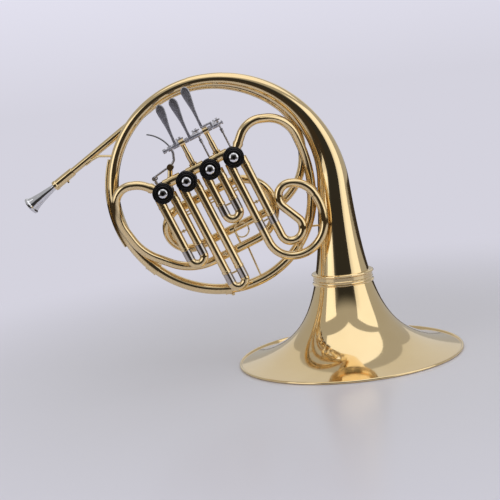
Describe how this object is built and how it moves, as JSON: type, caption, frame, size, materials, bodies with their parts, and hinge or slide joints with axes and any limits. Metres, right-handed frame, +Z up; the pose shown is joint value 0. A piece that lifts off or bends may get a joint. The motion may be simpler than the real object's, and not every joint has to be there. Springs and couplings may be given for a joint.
{
  "type": "french horn",
  "caption": "Single french horn with rotary valves, standing on its bell, with working keys, stop arms, pull-out valve slides, tuning slide and a removable mouthpiece.",
  "frame": {"origin": "centre of the bell rim, on the plane the horn stands on", "axes": "+Z up the bell axis, +X from the body loop towards the bell, +Y away from the valve caps"},
  "size_m": [0.5755, 0.31, 0.4038],
  "materials": {
    "lacquered_brass": "polished yellow brass under clear lacquer",
    "silver": "polished silver plate",
    "lever_steel": "nickel-plated, polished",
    "cap_black": "dark plated cap",
    "bumper": "cork-coloured synthetic"
  },
  "bodies": {
    "horn_body": {"bell_flare": "lacquered_brass", "bell_rim_wire": "lacquered_brass", "garland_rings": "lacquered_brass", "bell_throat": "lacquered_brass", "bell_tail": "lacquered_brass", "tail_ferrule": "lacquered_brass", "loop_upper_branch": "lacquered_brass", "loop_lower_branch": "lacquered_brass", "first_branch": "lacquered_brass", "valve_branch": "lacquered_brass", "loop_ferrules": "lacquered_brass", "guard_strip": "lacquered_brass", "leadpipe": "lacquered_brass", "mouthpiece_receiver": "lacquered_brass", "leadpipe_brace": "lacquered_brass", "tuning_sleeves": "lacquered_brass", "return_bow": "lacquered_brass", "feed_pipe": "lacquered_brass", "valve_casing_1": "lacquered_brass", "valve_casing_2": "lacquered_brass", "valve_casing_3": "lacquered_brass", "valve_casing_4": "lacquered_brass", "bearing_plates": "lacquered_brass", "valve_caps": "cap_black", "cap_hubs": "silver", "stop_plates": "lacquered_brass", "stop_bumpers": "bumper", "valve_couplings": "lacquered_brass", "slide_sleeves_1": "lacquered_brass", "slide_sleeves_2": "lacquered_brass", "slide_sleeves_3": "lacquered_brass", "slide_sleeves_4": "lacquered_brass", "tube_braces": "lacquered_brass", "lever_axle": "lever_steel", "lever_posts": "lacquered_brass", "lever_springs": "lever_steel", "thumb_pivot": "lacquered_brass"},
    "lever_1": {"finger_lever_1": "lever_steel"},
    "lever_2": {"finger_lever_2": "lever_steel"},
    "lever_3": {"finger_lever_3": "lever_steel"},
    "thumb": {"thumb_lever": "lever_steel"},
    "rotor_body_1": {"rotor_1": "lacquered_brass", "stop_arm_1": "lever_steel"},
    "rotor_body_2": {"rotor_2": "lacquered_brass", "stop_arm_2": "lever_steel"},
    "rotor_body_3": {"rotor_3": "lacquered_brass", "stop_arm_3": "lever_steel"},
    "rotor_body_4": {"rotor_4": "lacquered_brass", "stop_arm_4": "lever_steel"},
    "link_body_1": {"link_1": "lever_steel"},
    "link_body_2": {"link_2": "lever_steel"},
    "link_body_3": {"link_3": "lever_steel"},
    "link_body_4": {"link_4": "lever_steel"},
    "slide_1": {"slide_crook_1": "lacquered_brass"},
    "slide_2": {"slide_crook_2": "lacquered_brass"},
    "slide_3": {"slide_crook_3": "lacquered_brass", "pull_ring": "lacquered_brass"},
    "slide_4": {"slide_crook_4": "lacquered_brass"},
    "tuning_slide": {"tuning_slide_bow": "lacquered_brass"},
    "mouthpiece_body": {"mouthpiece": "silver"}
  },
  "joints": [
    {"name": "finger_key_1", "type": "hinge", "parent": "horn_body", "child": "lever_1", "pos_m": [-0.20417, -0.0345, 0.31362], "axis": [-0.9367, 0, -0.3502], "range_deg": [0, 20], "stiffness_Nm_per_rad": 0.15, "springref_deg": -17.19},
    {"name": "finger_key_2", "type": "hinge", "parent": "horn_body", "child": "lever_2", "pos_m": [-0.17841, -0.0345, 0.32325], "axis": [-0.9367, 0, -0.3502], "range_deg": [0, 20], "stiffness_Nm_per_rad": 0.15, "springref_deg": -17.19},
    {"name": "finger_key_3", "type": "hinge", "parent": "horn_body", "child": "lever_3", "pos_m": [-0.14984, -0.0345, 0.33393], "axis": [-0.9367, 0, -0.3502], "range_deg": [0, 20], "stiffness_Nm_per_rad": 0.15, "springref_deg": -17.19},
    {"name": "thumb_key", "type": "hinge", "parent": "horn_body", "child": "thumb", "pos_m": [-0.21509, -0.0115, 0.28605], "axis": [0, 1, 0], "range_deg": [0, 20], "stiffness_Nm_per_rad": 0.15, "springref_deg": -17.19},
    {"name": "rotor_turn_1", "type": "hinge", "parent": "horn_body", "child": "rotor_body_1", "pos_m": [-0.22774, -0.03, 0.25388], "axis": [0, 1, 0], "range_deg": [0, 90]},
    {"name": "rotor_turn_2", "type": "hinge", "parent": "horn_body", "child": "rotor_body_2", "pos_m": [-0.19515, -0.03, 0.26607], "axis": [0, 1, 0], "range_deg": [0, 90]},
    {"name": "rotor_turn_3", "type": "hinge", "parent": "horn_body", "child": "rotor_body_3", "pos_m": [-0.16255, -0.03, 0.27826], "axis": [0, 1, 0], "range_deg": [0, 90]},
    {"name": "rotor_turn_4", "type": "hinge", "parent": "horn_body", "child": "rotor_body_4", "pos_m": [-0.12995, -0.03, 0.29045], "axis": [0, 1, 0], "range_deg": [0, 90]},
    {"name": "link_turn_1", "type": "hinge", "parent": "rotor_body_1", "child": "link_body_1", "pos_m": [-0.23064, -0.0062, 0.24751], "axis": [0, 1, 0], "range_deg": [-90, 0]},
    {"name": "link_turn_2", "type": "hinge", "parent": "rotor_body_2", "child": "link_body_2", "pos_m": [-0.19224, -0.0062, 0.27244], "axis": [0, 1, 0], "range_deg": [-90, 0]},
    {"name": "link_turn_3", "type": "hinge", "parent": "rotor_body_3", "child": "link_body_3", "pos_m": [-0.15965, -0.0062, 0.28463], "axis": [0, 1, 0], "range_deg": [-90, 0]},
    {"name": "link_turn_4", "type": "hinge", "parent": "rotor_body_4", "child": "link_body_4", "pos_m": [-0.12705, -0.0062, 0.29681], "axis": [0, 1, 0], "range_deg": [-90, 0]},
    {"name": "slide_pull_1", "type": "slide", "parent": "horn_body", "child": "slide_1", "axis": [0.3502, 0, -0.9367], "range_m": [0, 0.04]},
    {"name": "slide_pull_2", "type": "slide", "parent": "horn_body", "child": "slide_2", "axis": [0.3502, 0, -0.9367], "range_m": [0, 0.06]},
    {"name": "slide_pull_3", "type": "slide", "parent": "horn_body", "child": "slide_3", "axis": [0.3502, 0, -0.9367], "range_m": [0, 0.02]},
    {"name": "slide_pull_4", "type": "slide", "parent": "horn_body", "child": "slide_4", "axis": [0.3502, 0, -0.9367], "range_m": [0, 0.011]},
    {"name": "tuning_slide_pull", "type": "slide", "parent": "horn_body", "child": "tuning_slide", "axis": [-0.9367, 0, -0.3502], "range_m": [0, 0.02]},
    {"name": "mouthpiece_pull", "type": "slide", "parent": "horn_body", "child": "mouthpiece_body", "axis": [-0.8425, 0, -0.5388], "range_m": [0, 0.02]}
  ],
  "couplings": [
    {"joint": "rotor_turn_1", "follows": "thumb_key", "ratio": 4.5},
    {"joint": "rotor_turn_2", "follows": "finger_key_1", "ratio": 4.5},
    {"joint": "rotor_turn_3", "follows": "finger_key_2", "ratio": 4.5},
    {"joint": "rotor_turn_4", "follows": "finger_key_3", "ratio": 4.5},
    {"joint": "link_turn_1", "follows": "thumb_key", "ratio": -4.5},
    {"joint": "link_turn_2", "follows": "finger_key_1", "ratio": -4.5},
    {"joint": "link_turn_3", "follows": "finger_key_2", "ratio": -4.5},
    {"joint": "link_turn_4", "follows": "finger_key_3", "ratio": -4.5}
  ]
}
